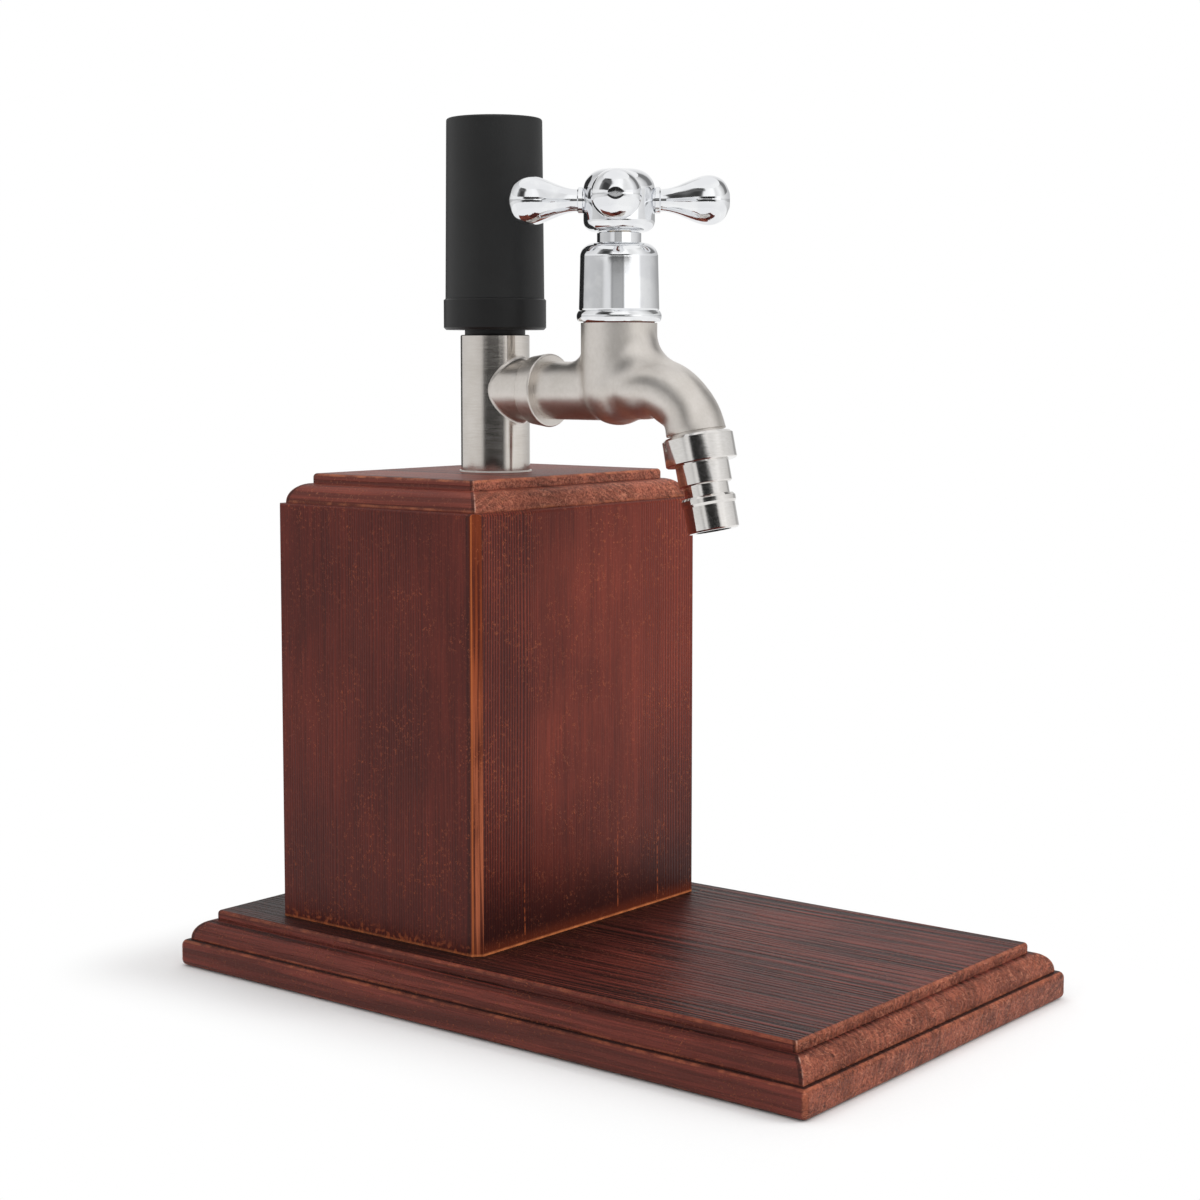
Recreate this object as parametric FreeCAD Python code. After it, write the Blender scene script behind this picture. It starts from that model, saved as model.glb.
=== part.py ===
import FreeCAD, Part
import math
import os

from FreeCAD import Placement, Rotation, Vector

# Table-top drink dispenser: a moulded wooden base, a wooden box, a steel column with a
# bottle sleeve on top, and a bib tap with a cross handle and a hose nozzle.
# Millimetres. +Z up, -Y is the tap side, origin at the middle of the base's underside.

# Driving sizes of the wood
BASE_WIDTH = 163.0
BASE_LENGTH = 272.0
BASE_THICK = 20.0
SLAB_HEIGHT = 9.5
LEDGE = 3.0
OVOLO_WIDTH = 6.5
OVOLO_HEIGHT = 7.0
SLAB_ROUND = 2.2
CREST_ROUND = 1.4
STAND_INSET = 0.6
BOX_WIDTH = 124.0
BOX_FRONT_Y = 8.0
BOX_BACK_Y = 104.0
BOX_TOP_Z = 169.0
PANEL_THICK = 12.0
CORNER_CHAMFER = 3.0
TOP_EDGE_ROUND = 1.3
TOP_BOARD_Z = 179.5
BLOCK_SIDE = 14.0
BLOCK_HEIGHT = 125.0

# Wood screws up through the base into the corner blocks
SCREW_RADIUS = 2.0
SCREW_HEAD_RADIUS = 4.0
SCREW_HEAD_HEIGHT = 2.4
SCREW_LENGTH = 42.0
SCREW_SINK = 0.6
SCREW_GAP = 0.05

# Column
COLUMN_Y = 53.5
PIPE_RADIUS = 12.5
PIPE_WALL = 1.5
FOOT_WASHER_THICK = 0.5
PIPE_LENGTH = 48.6
PIPE_BOTTOM_Z = TOP_BOARD_Z + FOOT_WASHER_THICK
PIPE_TOP_Z = PIPE_BOTTOM_Z + PIPE_LENGTH
BRANCH_Z = 208.9
BRANCH_RADIUS = 10.75
BRANCH_END_Y = 35.0
WELD_RADIUS = 1.6
STUD_RADIUS = 4.0
STUD_FOOT_Z = 157.0
PLUG_THICK = 5.0

# Bottle sleeve
COLLAR_RADIUS = 18.45
COLLAR_BOTTOM_Z = 230.4
COLLAR_TOP_Z = 241.5
SLEEVE_TOP_Z = 305.5
SLEEVE_BOTTOM_RADIUS = 17.8
SLEEVE_TOP_RADIUS = 17.2
SLEEVE_SEAT_RADIUS = 16.9
SLEEVE_BORE = 12.25
SLEEVE_SHOULDER_Z = 250.0
LIQUID_BORE = 7.5
SPIGOT_RADIUS = 10.9
SPIGOT_FOOT_Z = 219.5
SPIGOT_RING_HEIGHTS = (222.0, 225.5)
CUP_FLOOR_THICK = 3.0

# Tap
STEM_Y = -3.3
FLANGE_BACK_Y = 34.4
FLANGE_FRONT_Y = 27.2
FLANGE_BACK_RADIUS = 12.1
FLANGE_FRONT_RADIUS = 13.1
INLET_THREAD_RADIUS = 8.33
INLET_END_Y = 40.6
NECK_RADIUS = 10.2
CHIMNEY_RADIUS = 13.2
CHIMNEY_TOP_Z = 232.4
BOWL_CENTRE_Z = 210.4
CHAMBER_FLOOR_Z = 213.0
SEAT_LIP_Z = 214.2
SPOUT_Y = -19.1
SPOUT_Z = 209.3
SPOUT_BEND = 17.8
NOZZLE_TILT = 12.7
SPOUT_BORE = 7.0
SPOUT_THREAD_RADIUS = 10.4
NECK_BLEND = 8.0
SPOUT_BLEND = 14.0
INLET_BORE = 6.0
INLET_BORE_END_Y = 12.0
UNDER_SEAT_BORE = 5.0
SEAT_BORE = 4.5
SEAT_LIP_RADIUS = 6.0
CHAMBER_RADIUS = 9.3
LINK_BORE = 5.0
SOCKET_RADIUS = 10.5
SOCKET_FLOOR_Z = 223.5

# Sections of the spout: half its width, its reach to the outside of the bend, and to the inside
SPOUT_SECTIONS = (
    (12.9, 11.3, 9.8),
    (12.9, 11.3, 9.6),
    (12.6, 11.2, 9.4),
    (11.6, 10.7, 9.6),
    (10.6, 10.1, 10.1),
    (9.9, 9.8, 9.8),
    (9.9, 9.9, 9.9),
    (10.1, 10.1, 10.1),
)

# Headwork, valve and spindle, on the stem's axis
THREAD_PITCH = 1.75
OPEN_TURNS = 2.5
SPARE_LIFT = 0.625
GASKET_THICK = 0.4
HEADWORK_FOOT_Z = 224.0
HEXAGON_FLATS = 21.0
HEXAGON_TOP_Z = 239.0
GUIDE_FLATS = 11.2
GUIDE_TOP_Z = 240.0
THRUST_RADIUS = 5.5
THRUST_TOP_Z = 243.0
BARREL_TOP_Z = 252.0
GLAND_SEAT_Z = 258.4
HEADWORK_TOP_Z = 262.6
SPINDLE_RADIUS = 4.0
SPINDLE_BORE = 4.05
STEM_THREAD_RADIUS = 3.42
STEM_RING_HEIGHTS = (247.5, 251.5)
SQUARE_FOOT_Z = 264.2
SQUARE_FLATS = 6.0
SPINDLE_TOP_Z = 275.0
CARRIER_FLATS = 11.0
VALVE_WASHER_TOP_Z = 217.0
VALVE_PEG_RADIUS = 1.6

# Bright cover and gland nut
BONNET_FOOT_Z = 232.85
BONNET_TOP_Z = 259.75
BONNET_FOOT_RADIUS = 13.95
BONNET_TOP_RADIUS = 13.5
BONNET_WALL = 1.1
BEAD_RADIUS = 14.75
GLAND_RADIUS = 7.66

# Cross handle
HANDLE_BOTTOM_Z = 263.5
HUB_RADIUS = 12.35
HUB_TOP_Z = 285.0
ARM_Z = 274.2
ARM_TIP = 38.0
ARM_TURN = 36.3
HANDLE_SCREW_RADIUS = 1.7
SCREW_SEAT_Z = 278.2
CAP_SEAT_Z = 282.0
CAP_RADIUS = 5.05
# Radius of the arm along its length, from the thin neck to the tip
ARM_SWELL = ((15.0, 3.85), (18.0, 4.35), (21.5, 5.6), (25.0, 7.1), (28.2, 8.15), (31.2, 8.45),
             (34.0, 7.75), (36.3, 5.9), (37.6, 3.3), (ARM_TIP, 0.0))

# Nozzle, measured along its own axis from the end of the spout's bend
NUT_START = 1.1
NUT_END = 10.5
NUT_RADIUS = 12.15
BARREL_RADIUS = 9.08
BARREL_END = 18.1
GROOVE_RADIUS = 7.6
GROOVE_END = 22.0
RIB_RADIUS = 9.3
RIB_END = 25.2
TAIL_RADIUS = 8.75
TAIL_END = 33.8
NOZZLE_BORE = 6.0

X_AXIS = Vector(1, 0, 0)
Y_AXIS = Vector(0, 1, 0)
Z_AXIS = Vector(0, 0, 1)


def save(name, *solids):
    shape = solids[0] if len(solids) == 1 else Part.makeCompound(list(solids))
    shape.exportStep("parts/" + name + ".step")
    print(name, len(shape.Solids), "solids", round(shape.Volume / 1000.0, 2), "cm3", shape.isValid())


def upright(radius, low, high, y=0.0, x=0.0):
    return Part.makeCylinder(radius, high - low, Vector(x, y, low))


def along_y(radius, low, high, z):
    return Part.makeCylinder(radius, high - low, Vector(0, low, z), Y_AXIS)


def block(x0, x1, y0, y1, z0, z1):
    return Part.makeBox(x1 - x0, y1 - y0, z1 - z0, Vector(x0, y0, z0))


def edge_of(start, middle, end):
    if middle is None:
        return Part.LineSegment(start, end).toShape()
    return Part.Arc(start, middle, end).toShape()


def turned(path, y=0.0):
    """Solid turned about the upright axis at y, from (radius, z) points.

    A point may be given as (middle, end), which reaches end by an arc through middle.
    """
    edges = []
    here = path[0]
    for step in path[1:] + [path[0]]:
        middle, end = step if isinstance(step[0], tuple) else (None, step)
        place = [Vector(p[0], 0, p[1]) if p else None for p in (here, middle, end)]
        edges.append(edge_of(*place))
        here = end
    solid = Part.Face(Part.Wire(edges)).revolve(Vector(0, 0, 0), Z_AXIS, 360)
    solid.translate(Vector(0, y, 0))
    return solid


def hexagon(flats, low, high, y=0.0):
    corner = flats / math.sqrt(3.0)
    points = []
    for n in range(7):
        angle = math.radians(60.0 * n)
        points.append(Vector(corner * math.cos(angle), y + corner * math.sin(angle), low))
    return Part.Face(Part.makePolygon(points)).extrude(Vector(0, 0, high - low))


def rounded_block(half_x, half_y, bottom, top, radius):
    solid = block(-half_x, half_x, -half_y, half_y, bottom, top)
    return solid.makeFillet(radius, solid.Edges)


def ovolo_prism(ledge, reach, bottom, step, across):
    """Board with a quarter-round above the step, run along Y, or along X when across is set."""
    def place(point, side):
        return Vector(0, side * point[0], point[1]) if across else Vector(side * point[0], 0, point[1])

    crest = ledge - OVOLO_WIDTH
    top = step + OVOLO_HEIGHT
    bulge = (crest + OVOLO_WIDTH * math.sqrt(0.5), step + OVOLO_HEIGHT * math.sqrt(0.5))
    legs = [((0, bottom), None, (ledge, bottom))]
    if step > bottom:
        legs.append(((ledge, bottom), None, (ledge, step)))
    legs.append(((ledge, step), bulge, (crest, top)))
    legs.append(((crest, top), None, (0, top)))
    edges = [edge_of(place(a, 1), m and place(m, 1), place(b, 1)) for a, m, b in legs]
    edges += [edge_of(place(b, -1), m and place(m, -1), place(a, -1)) for a, m, b in reversed(legs)]
    face = Part.Face(Part.Wire(edges))
    run = X_AXIS if across else Y_AXIS
    face.translate(run * -reach)
    return face.extrude(run * (2 * reach))


def moulded_board(half_x, half_y, bottom, step, top):
    """Quarter-round mitred round the board, with a round-edged board standing on it."""
    ledge_x, ledge_y = half_x - LEDGE, half_y - LEDGE
    lengthwise = ovolo_prism(ledge_x, half_y + 5, bottom, step, False)
    crosswise = ovolo_prism(ledge_y, half_x + 5, bottom, step, True)
    crest = rounded_block(ledge_x - OVOLO_WIDTH, ledge_y - OVOLO_WIDTH, step + 1, top, CREST_ROUND)
    return lengthwise.common(crosswise).fuse(crest).removeSplitter().Solids[0]


def screw_places():
    inset = BLOCK_SIDE / 2.0 + PANEL_THICK
    x = BOX_WIDTH / 2.0 - inset
    return [(side * x, y) for side in (-1, 1) for y in (BOX_FRONT_Y + inset, BOX_BACK_Y - inset)]


def wood_screw(x, y, gap=0.0):
    """Countersunk screw; with a gap, the hole it goes in, which opens at the underside."""
    head_z = 0.0 if gap else SCREW_SINK
    neck_z = SCREW_SINK + SCREW_HEAD_HEIGHT
    wide = SCREW_HEAD_RADIUS + gap
    thin = SCREW_RADIUS + gap
    tip_z = SCREW_SINK + SCREW_LENGTH
    path = [(0, head_z), (wide, head_z), (wide, SCREW_SINK + 0.3), (thin, neck_z), (thin, tip_z - 4)]
    solid = turned(path + [(0.4, tip_z), (0, tip_z)])
    solid.translate(Vector(x, y, 0))
    return solid


def base_board():
    """Moulded base. Its top in front of the box, where a glass stands, is a face of its own."""
    half_x, half_y = BASE_WIDTH / 2.0, BASE_LENGTH / 2.0
    slab = rounded_block(half_x, half_y, 0.0, SLAB_HEIGHT, SLAB_ROUND)
    board = moulded_board(half_x, half_y, SLAB_HEIGHT / 2.0, SLAB_HEIGHT, BASE_THICK)
    board = board.fuse(slab).removeSplitter().Solids[0]
    edge_x = half_x - LEDGE - OVOLO_WIDTH - CREST_ROUND - STAND_INSET
    edge_y = half_y - LEDGE - OVOLO_WIDTH - CREST_ROUND - STAND_INSET
    stand_end = BOX_FRONT_Y - STAND_INSET
    stand = block(-edge_x, edge_x, -edge_y, stand_end, SLAB_HEIGHT, BASE_THICK)
    board = board.fuse(stand).Solids[0]
    for x, y in screw_places():
        board = board.cut(wood_screw(x, y, SCREW_GAP))
    return board


def box_panels():
    """Four panels with mitred ends; each outer corner of the box is chamfered."""
    x0, x1 = -BOX_WIDTH / 2.0, BOX_WIDTH / 2.0
    y0, y1 = BOX_FRONT_Y, BOX_BACK_Y
    cut = CORNER_CHAMFER
    mid = CORNER_CHAMFER / 2.0
    deep = PANEL_THICK

    def panel(points, is_outer):
        face = Part.Face(Part.makePolygon([Vector(x, y, BASE_THICK) for x, y in points + points[:1]]))
        solid = face.extrude(Vector(0, 0, BOX_TOP_Z - BASE_THICK))
        rim = []
        for edge in solid.Edges:
            centre = edge.CenterOfMass
            if centre.z > BOX_TOP_Z - 0.01 and is_outer(centre.x, centre.y):
                rim.append(edge)
        return solid.makeFillet(TOP_EDGE_ROUND, rim)

    def end_to_end(low, high, outer, inner, swap):
        """Plan of a panel from low to high, its face at outer and its back at inner."""
        sign = 1 if inner > outer else -1
        plan = [
            (low + cut, outer),
            (high - cut, outer),
            (high - mid, outer + sign * mid),
            (high - deep, inner),
            (low + deep, inner),
            (low + mid, outer + sign * mid),
        ]
        return [(b, a) for a, b in plan] if swap else plan

    return {
        "box_front_panel": panel(end_to_end(x0, x1, y0, y0 + deep, False), lambda x, y: y < y0 + 0.1),
        "box_back_panel": panel(end_to_end(x0, x1, y1, y1 - deep, False), lambda x, y: y > y1 - 0.1),
        "box_left_panel": panel(end_to_end(y0, y1, x0, x0 + deep, True), lambda x, y: x < x0 + 0.1),
        "box_right_panel": panel(end_to_end(y0, y1, x1, x1 - deep, True), lambda x, y: x > x1 - 0.1),
    }


def box_top_board():
    middle_y = (BOX_FRONT_Y + BOX_BACK_Y) / 2.0
    half_y = (BOX_BACK_Y - BOX_FRONT_Y) / 2.0
    board = moulded_board(BOX_WIDTH / 2.0, half_y, BOX_TOP_Z, BOX_TOP_Z, TOP_BOARD_Z)
    board.translate(Vector(0, middle_y, 0))
    return board.cut(upright(STUD_RADIUS + 0.3, BOX_TOP_Z - 1, TOP_BOARD_Z + 1, COLUMN_Y))


def corner_blocks():
    half = BLOCK_SIDE / 2.0
    blocks = []
    for x, y in screw_places():
        post = block(x - half, x + half, y - half, y + half, BASE_THICK, BASE_THICK + BLOCK_HEIGHT)
        blocks.append(post.cut(wood_screw(x, y, SCREW_GAP)))
    return blocks


def foot_washer():
    return turned([(STUD_RADIUS + 0.4, TOP_BOARD_Z), (PIPE_RADIUS + 0.6, TOP_BOARD_Z),
                   (PIPE_RADIUS + 0.6, PIPE_BOTTOM_Z), (STUD_RADIUS + 0.4, PIPE_BOTTOM_Z)], COLUMN_Y)


def column_pipe():
    bore = PIPE_RADIUS - PIPE_WALL
    lip = 0.3
    pipe = turned([(bore, PIPE_BOTTOM_Z), (PIPE_RADIUS, PIPE_BOTTOM_Z), (PIPE_RADIUS, PIPE_TOP_Z - lip),
                   (PIPE_RADIUS - lip, PIPE_TOP_Z), (bore, PIPE_TOP_Z)], COLUMN_Y)
    return pipe.cut(along_y(LIQUID_BORE, BRANCH_END_Y, COLUMN_Y, BRANCH_Z))


def branch_socket():
    stub = along_y(BRANCH_RADIUS, BRANCH_END_Y, COLUMN_Y, BRANCH_Z)
    bore = along_y(INLET_THREAD_RADIUS + 0.05, BRANCH_END_Y - 1, COLUMN_Y + 1, BRANCH_Z)
    return stub.cut(bore).cut(upright(PIPE_RADIUS + 0.02, 190, 230, COLUMN_Y))


def weld_bead():
    """The ground fillet weld where the branch meets the column."""
    pipe = upright(PIPE_RADIUS, PIPE_BOTTOM_Z + 5, PIPE_TOP_Z - 3, COLUMN_Y)
    stub = along_y(BRANCH_RADIUS, BRANCH_END_Y, COLUMN_Y, BRANCH_Z)
    joined = pipe.fuse(stub)
    seam = edges_where(joined, lambda b: b.ZLength > BRANCH_RADIUS and b.YLength > 1
                       and b.YMin > BRANCH_END_Y + 1 and b.YMax < COLUMN_Y)
    return joined.makeFillet(WELD_RADIUS, seam).cut(pipe).cut(stub).Solids[0]


def column_plug():
    """Plug welded into the foot of the pipe, with the stud that holds the column down."""
    radius = PIPE_RADIUS - PIPE_WALL - 0.05
    low, high = PIPE_BOTTOM_Z, PIPE_BOTTOM_Z + PLUG_THICK
    return turned([(0, STUD_FOOT_Z), (STUD_RADIUS - 0.6, STUD_FOOT_Z), (STUD_RADIUS, STUD_FOOT_Z + 0.8),
                   (STUD_RADIUS, low), (radius, low), (radius, high), (0, high)], COLUMN_Y)


def fixing_washer():
    thick, radius, hole = 2.0, 14.0, STUD_RADIUS + 0.3
    low = BOX_TOP_Z - thick
    return turned([(hole, low), (radius, low), (radius, BOX_TOP_Z), (hole, BOX_TOP_Z)], COLUMN_Y)


def fixing_nut():
    flats, height = 13.0, 6.5
    top = BOX_TOP_Z - 2.0
    nut = hexagon(flats, top - height, top, COLUMN_Y)
    return nut.cut(upright(STUD_RADIUS + 0.05, top - height - 1, top + 1, COLUMN_Y))


def sleeve_cup():
    """Black collar that holds the sleeve's foot, with a spigot down into the pipe."""
    floor = COLLAR_BOTTOM_Z + CUP_FLOOR_THICK
    seat = SLEEVE_SEAT_RADIUS + 0.05
    groove = SPIGOT_RADIUS - 1.1
    rounding = 0.8
    path = [(LIQUID_BORE, SPIGOT_FOOT_Z), (SPIGOT_RADIUS, SPIGOT_FOOT_Z)]
    for centre in SPIGOT_RING_HEIGHTS:
        path += [(SPIGOT_RADIUS, centre - 0.8), (groove, centre - 0.8)]
        path += [(groove, centre + 0.8), (SPIGOT_RADIUS, centre + 0.8)]
    path += [(SPIGOT_RADIUS, COLLAR_BOTTOM_Z), (COLLAR_RADIUS - rounding, COLLAR_BOTTOM_Z)]
    path += [(COLLAR_RADIUS, COLLAR_BOTTOM_Z + rounding), (COLLAR_RADIUS, COLLAR_TOP_Z - 0.5)]
    path += [(COLLAR_RADIUS - 0.5, COLLAR_TOP_Z), (seat, COLLAR_TOP_Z), (seat, floor), (LIQUID_BORE, floor)]
    return turned(path, COLUMN_Y)


def spigot_o_rings():
    thick = 0.54
    rings = []
    for z in SPIGOT_RING_HEIGHTS:
        rings.append(Part.makeTorus(SPIGOT_RADIUS - 0.5, thick, Vector(0, COLUMN_Y, z), Z_AXIS))
    return rings


def bottle_sleeve():
    """Rubber sleeve that a bottle's neck pushes into, down to an inner shoulder."""
    foot = COLLAR_BOTTOM_Z + CUP_FLOOR_THICK + 0.05
    lip = 0.9
    mouth = 0.7
    bend = math.sqrt(0.5)
    crown = (SLEEVE_TOP_RADIUS - lip * (1 - bend), SLEEVE_TOP_Z - lip * (1 - bend))
    return turned([(LIQUID_BORE, foot), (SLEEVE_SEAT_RADIUS, foot), (SLEEVE_SEAT_RADIUS, COLLAR_TOP_Z + 0.1),
                   (SLEEVE_BOTTOM_RADIUS, COLLAR_TOP_Z + 0.1), (SLEEVE_TOP_RADIUS, SLEEVE_TOP_Z - lip),
                   (crown, (SLEEVE_TOP_RADIUS - lip, SLEEVE_TOP_Z)), (SLEEVE_BORE + mouth, SLEEVE_TOP_Z),
                   (SLEEVE_BORE, SLEEVE_TOP_Z - mouth), (SLEEVE_BORE, SLEEVE_SHOULDER_Z),
                   (LIQUID_BORE, SLEEVE_SHOULDER_Z - 3)], COLUMN_Y)


def inlet_washer():
    ring = along_y(BRANCH_RADIUS - 0.4, FLANGE_BACK_Y, BRANCH_END_Y, BRANCH_Z)
    return ring.cut(along_y(INLET_THREAD_RADIUS + 0.1, FLANGE_BACK_Y - 1, BRANCH_END_Y + 1, BRANCH_Z))


def spout_place(turn):
    """Centre of the spout's section after its bend has turned by this many degrees."""
    angle = math.radians(turn)
    return Vector(0, SPOUT_Y - SPOUT_BEND * math.sin(angle), SPOUT_Z - SPOUT_BEND * (1 - math.cos(angle)))


def spout_section(turn, half_width, outside, inside, run=0.0):
    """Oval section of the spout, run before the bend starts if run is set."""
    hair = 0.001
    half_height = (outside + inside) / 2.0
    rise = Rotation(X_AXIS, turn).multVec(Vector(0, 0, (outside - inside) / 2.0))
    oval = Part.Ellipse(Vector(0, 0, 0), half_width + hair, half_height).toShape()
    centre = spout_place(turn) + Vector(0, run, 0) + rise
    oval.Placement = Placement(centre, Rotation(X_AXIS, turn + 90))
    return Part.Wire([oval])


def spout_tube(sections, run, bend):
    """Loft through ovals: two before the bend, the rest spread evenly round it."""
    wires = [spout_section(0, *sections[0], run=run), spout_section(0, *sections[1], run=run / 2.0)]
    last = len(sections) - 3
    for n, section in enumerate(sections[2:]):
        wires.append(spout_section(bend * n / last, *section))
    return Part.makeLoft(wires, True)


def on_nozzle(shape):
    """Move a piece turned about Z, pointing down from the origin, onto the nozzle's axis."""
    placed = shape.copy()
    placed.Placement = Placement(spout_place(90 - NOZZLE_TILT), Rotation(X_AXIS, -NOZZLE_TILT))
    return placed


def edges_where(shape, test):
    """The edges whose bounding box passes the test."""
    return [e for e in shape.Edges if test(e.BoundBox)]


def tap_body():
    """Cast body: a bowl under the stem, the neck to its flange, the spout, and the water's way."""
    bend = 90 - NOZZLE_TILT
    slope = CHIMNEY_RADIUS * math.sqrt(0.5)
    bowl = ((slope, BOWL_CENTRE_Z - slope), (CHIMNEY_RADIUS, BOWL_CENTRE_Z))
    chimney = turned([(0, BOWL_CENTRE_Z - CHIMNEY_RADIUS), bowl, (CHIMNEY_RADIUS, CHIMNEY_TOP_Z),
                      (0, CHIMNEY_TOP_Z)], STEM_Y)
    neck = along_y(NECK_RADIUS, STEM_Y, FLANGE_FRONT_Y + 1, BRANCH_Z)
    body = chimney.fuse(neck)
    near_neck = edges_where(body, lambda b: b.YMin > STEM_Y and b.YMax < 20
                            and b.XLength > 15 and b.YLength > 1)
    body = body.makeFillet(NECK_BLEND, near_neck)
    body = body.fuse(spout_tube(SPOUT_SECTIONS, STEM_Y - SPOUT_Y, bend))
    near_spout = edges_where(body, lambda b: b.YMax < STEM_Y and b.YMin > -30
                             and b.XLength > 8 and b.YLength > 2)
    body = body.makeFillet(SPOUT_BLEND, near_spout)

    flange = Part.makeCone(FLANGE_FRONT_RADIUS, FLANGE_BACK_RADIUS, FLANGE_BACK_Y - FLANGE_FRONT_Y,
                           Vector(0, FLANGE_FRONT_Y, BRANCH_Z), Y_AXIS)
    flange = flange.makeFillet(0.7, edges_where(flange, lambda b: b.YLength < 0.01))
    thread = along_y(INLET_THREAD_RADIUS, FLANGE_BACK_Y - 1, INLET_END_Y, BRANCH_Z)
    outlet = on_nozzle(Part.makeCylinder(SPOUT_THREAD_RADIUS, 3.6, Vector(0, 0, -4.8)))
    relief = on_nozzle(Part.makeCylinder(SPOUT_THREAD_RADIUS - 1.4, 3.0, Vector(0, 0, -1.6)))
    body = body.fuse([flange, thread, outlet, relief])
    for hollow in water_way(bend):
        body = body.cut(hollow)
    return body


def water_way(bend):
    """Inlet, the rise through the seat, the chamber over it, and the way down the spout."""
    low_way = BRANCH_Z - 2.6
    inlet = along_y(INLET_BORE, INLET_BORE_END_Y, INLET_END_Y + 10, BRANCH_Z)
    under_seat = along_y(UNDER_SEAT_BORE, STEM_Y, INLET_BORE_END_Y + 4, low_way)
    seat_hole = upright(SEAT_BORE, low_way, SEAT_LIP_Z + 1, STEM_Y)
    chamber = upright(CHAMBER_RADIUS, CHAMBER_FLOOR_Z, CHIMNEY_TOP_Z + 1, STEM_Y)
    chamber = chamber.cut(upright(SEAT_LIP_RADIUS, CHAMBER_FLOOR_Z - 1, SEAT_LIP_Z, STEM_Y))
    socket = upright(SOCKET_RADIUS, SOCKET_FLOOR_Z, CHIMNEY_TOP_Z + 1, STEM_Y)
    link_start = Vector(0, -8.0, 218.5)
    link_end = Vector(0, -20.5, 210.0)
    link = Part.makeCylinder(LINK_BORE, (link_end - link_start).Length, link_start, link_end - link_start)
    link = link.common(block(-8, 8, -40, STEM_Y - SEAT_LIP_RADIUS - 0.3, 195, 225))
    section = Part.Face(Part.Wire([Part.makeCircle(SPOUT_BORE, spout_place(0), Y_AXIS)]))
    bend_bore = section.revolve(Vector(0, SPOUT_Y, SPOUT_Z - SPOUT_BEND), X_AXIS, bend)
    spout_bore = bend_bore.fuse(along_y(SPOUT_BORE, SPOUT_Y, SPOUT_Y + 5.0, SPOUT_Z))
    outlet_bore = on_nozzle(Part.makeCylinder(SPOUT_BORE + 0.4, 7.0, Vector(0, 0, -6.0)))
    return [inlet, under_seat, seat_hole, chamber, socket, link, spout_bore, outlet_bore]


def headwork():
    """Brass insert screwed into the tap: a hexagon to turn it by, and a guide for the valve."""
    thread = SOCKET_RADIUS - 0.1
    shoulder = CHIMNEY_TOP_Z + GASKET_THICK
    collar, barrel, upper, neck = 11.0, 9.0, 8.0, 6.0
    body = turned([(0, HEADWORK_FOOT_Z), (thread, HEADWORK_FOOT_Z), (thread, shoulder), (collar, shoulder),
                   (collar, HEXAGON_TOP_Z), (barrel, HEXAGON_TOP_Z), (barrel, BARREL_TOP_Z),
                   (upper, BARREL_TOP_Z), (upper, GLAND_SEAT_Z), (neck, GLAND_SEAT_Z),
                   (neck, HEADWORK_TOP_Z), (0, HEADWORK_TOP_Z)], STEM_Y)
    body = body.fuse(hexagon(HEXAGON_FLATS, shoulder, HEXAGON_TOP_Z, STEM_Y))
    guide = hexagon(GUIDE_FLATS, HEADWORK_FOOT_Z - 1, GUIDE_TOP_Z, STEM_Y)
    thrust = upright(THRUST_RADIUS + 0.1, GUIDE_TOP_Z - 0.1, THRUST_TOP_Z, STEM_Y)
    stem = upright(SPINDLE_BORE, THRUST_TOP_Z - 1, HEADWORK_TOP_Z + 1, STEM_Y)
    return body.cut(guide).cut(thrust).cut(stem)


def headwork_gasket():
    inner, outer = SOCKET_RADIUS + 0.1, CHIMNEY_RADIUS - 0.9
    top = CHIMNEY_TOP_Z + GASKET_THICK
    return turned([(inner, CHIMNEY_TOP_Z), (outer, CHIMNEY_TOP_Z), (outer, top), (inner, top)], STEM_Y)


def bonnet_cover():
    """Bright cover over the headwork, with a bead round its foot and a rounded shoulder."""
    inside = BONNET_FOOT_RADIUS - BONNET_WALL
    hole = 6.1
    under = BONNET_TOP_Z - BONNET_WALL
    return turned([(inside, BONNET_FOOT_Z), (14.2, BONNET_FOOT_Z), ((BEAD_RADIUS, 234.6), (14.2, 236.4)),
                   (13.8, 236.7), (BONNET_FOOT_RADIUS, 237.2),
                   (BONNET_TOP_RADIUS, 254.6), ((12.1, 258.3), (8.6, BONNET_TOP_Z)), (hole, BONNET_TOP_Z),
                   (hole, under), (8.4, under), ((11.2, 257.3), (BONNET_TOP_RADIUS - BONNET_WALL, 254.4)),
                   (inside, 237)], STEM_Y)


def gland_nut():
    foot = BONNET_TOP_Z + 0.05
    top = HANDLE_BOTTOM_Z - 0.2
    bore, stem_hole, soft = 6.05, 4.2, 0.3
    return turned([(bore, foot), (GLAND_RADIUS, foot), (GLAND_RADIUS, top - soft), (GLAND_RADIUS - soft, top),
                   (stem_hole, top), (stem_hole, top - 0.6), (bore, top - 0.6)], STEM_Y)


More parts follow.
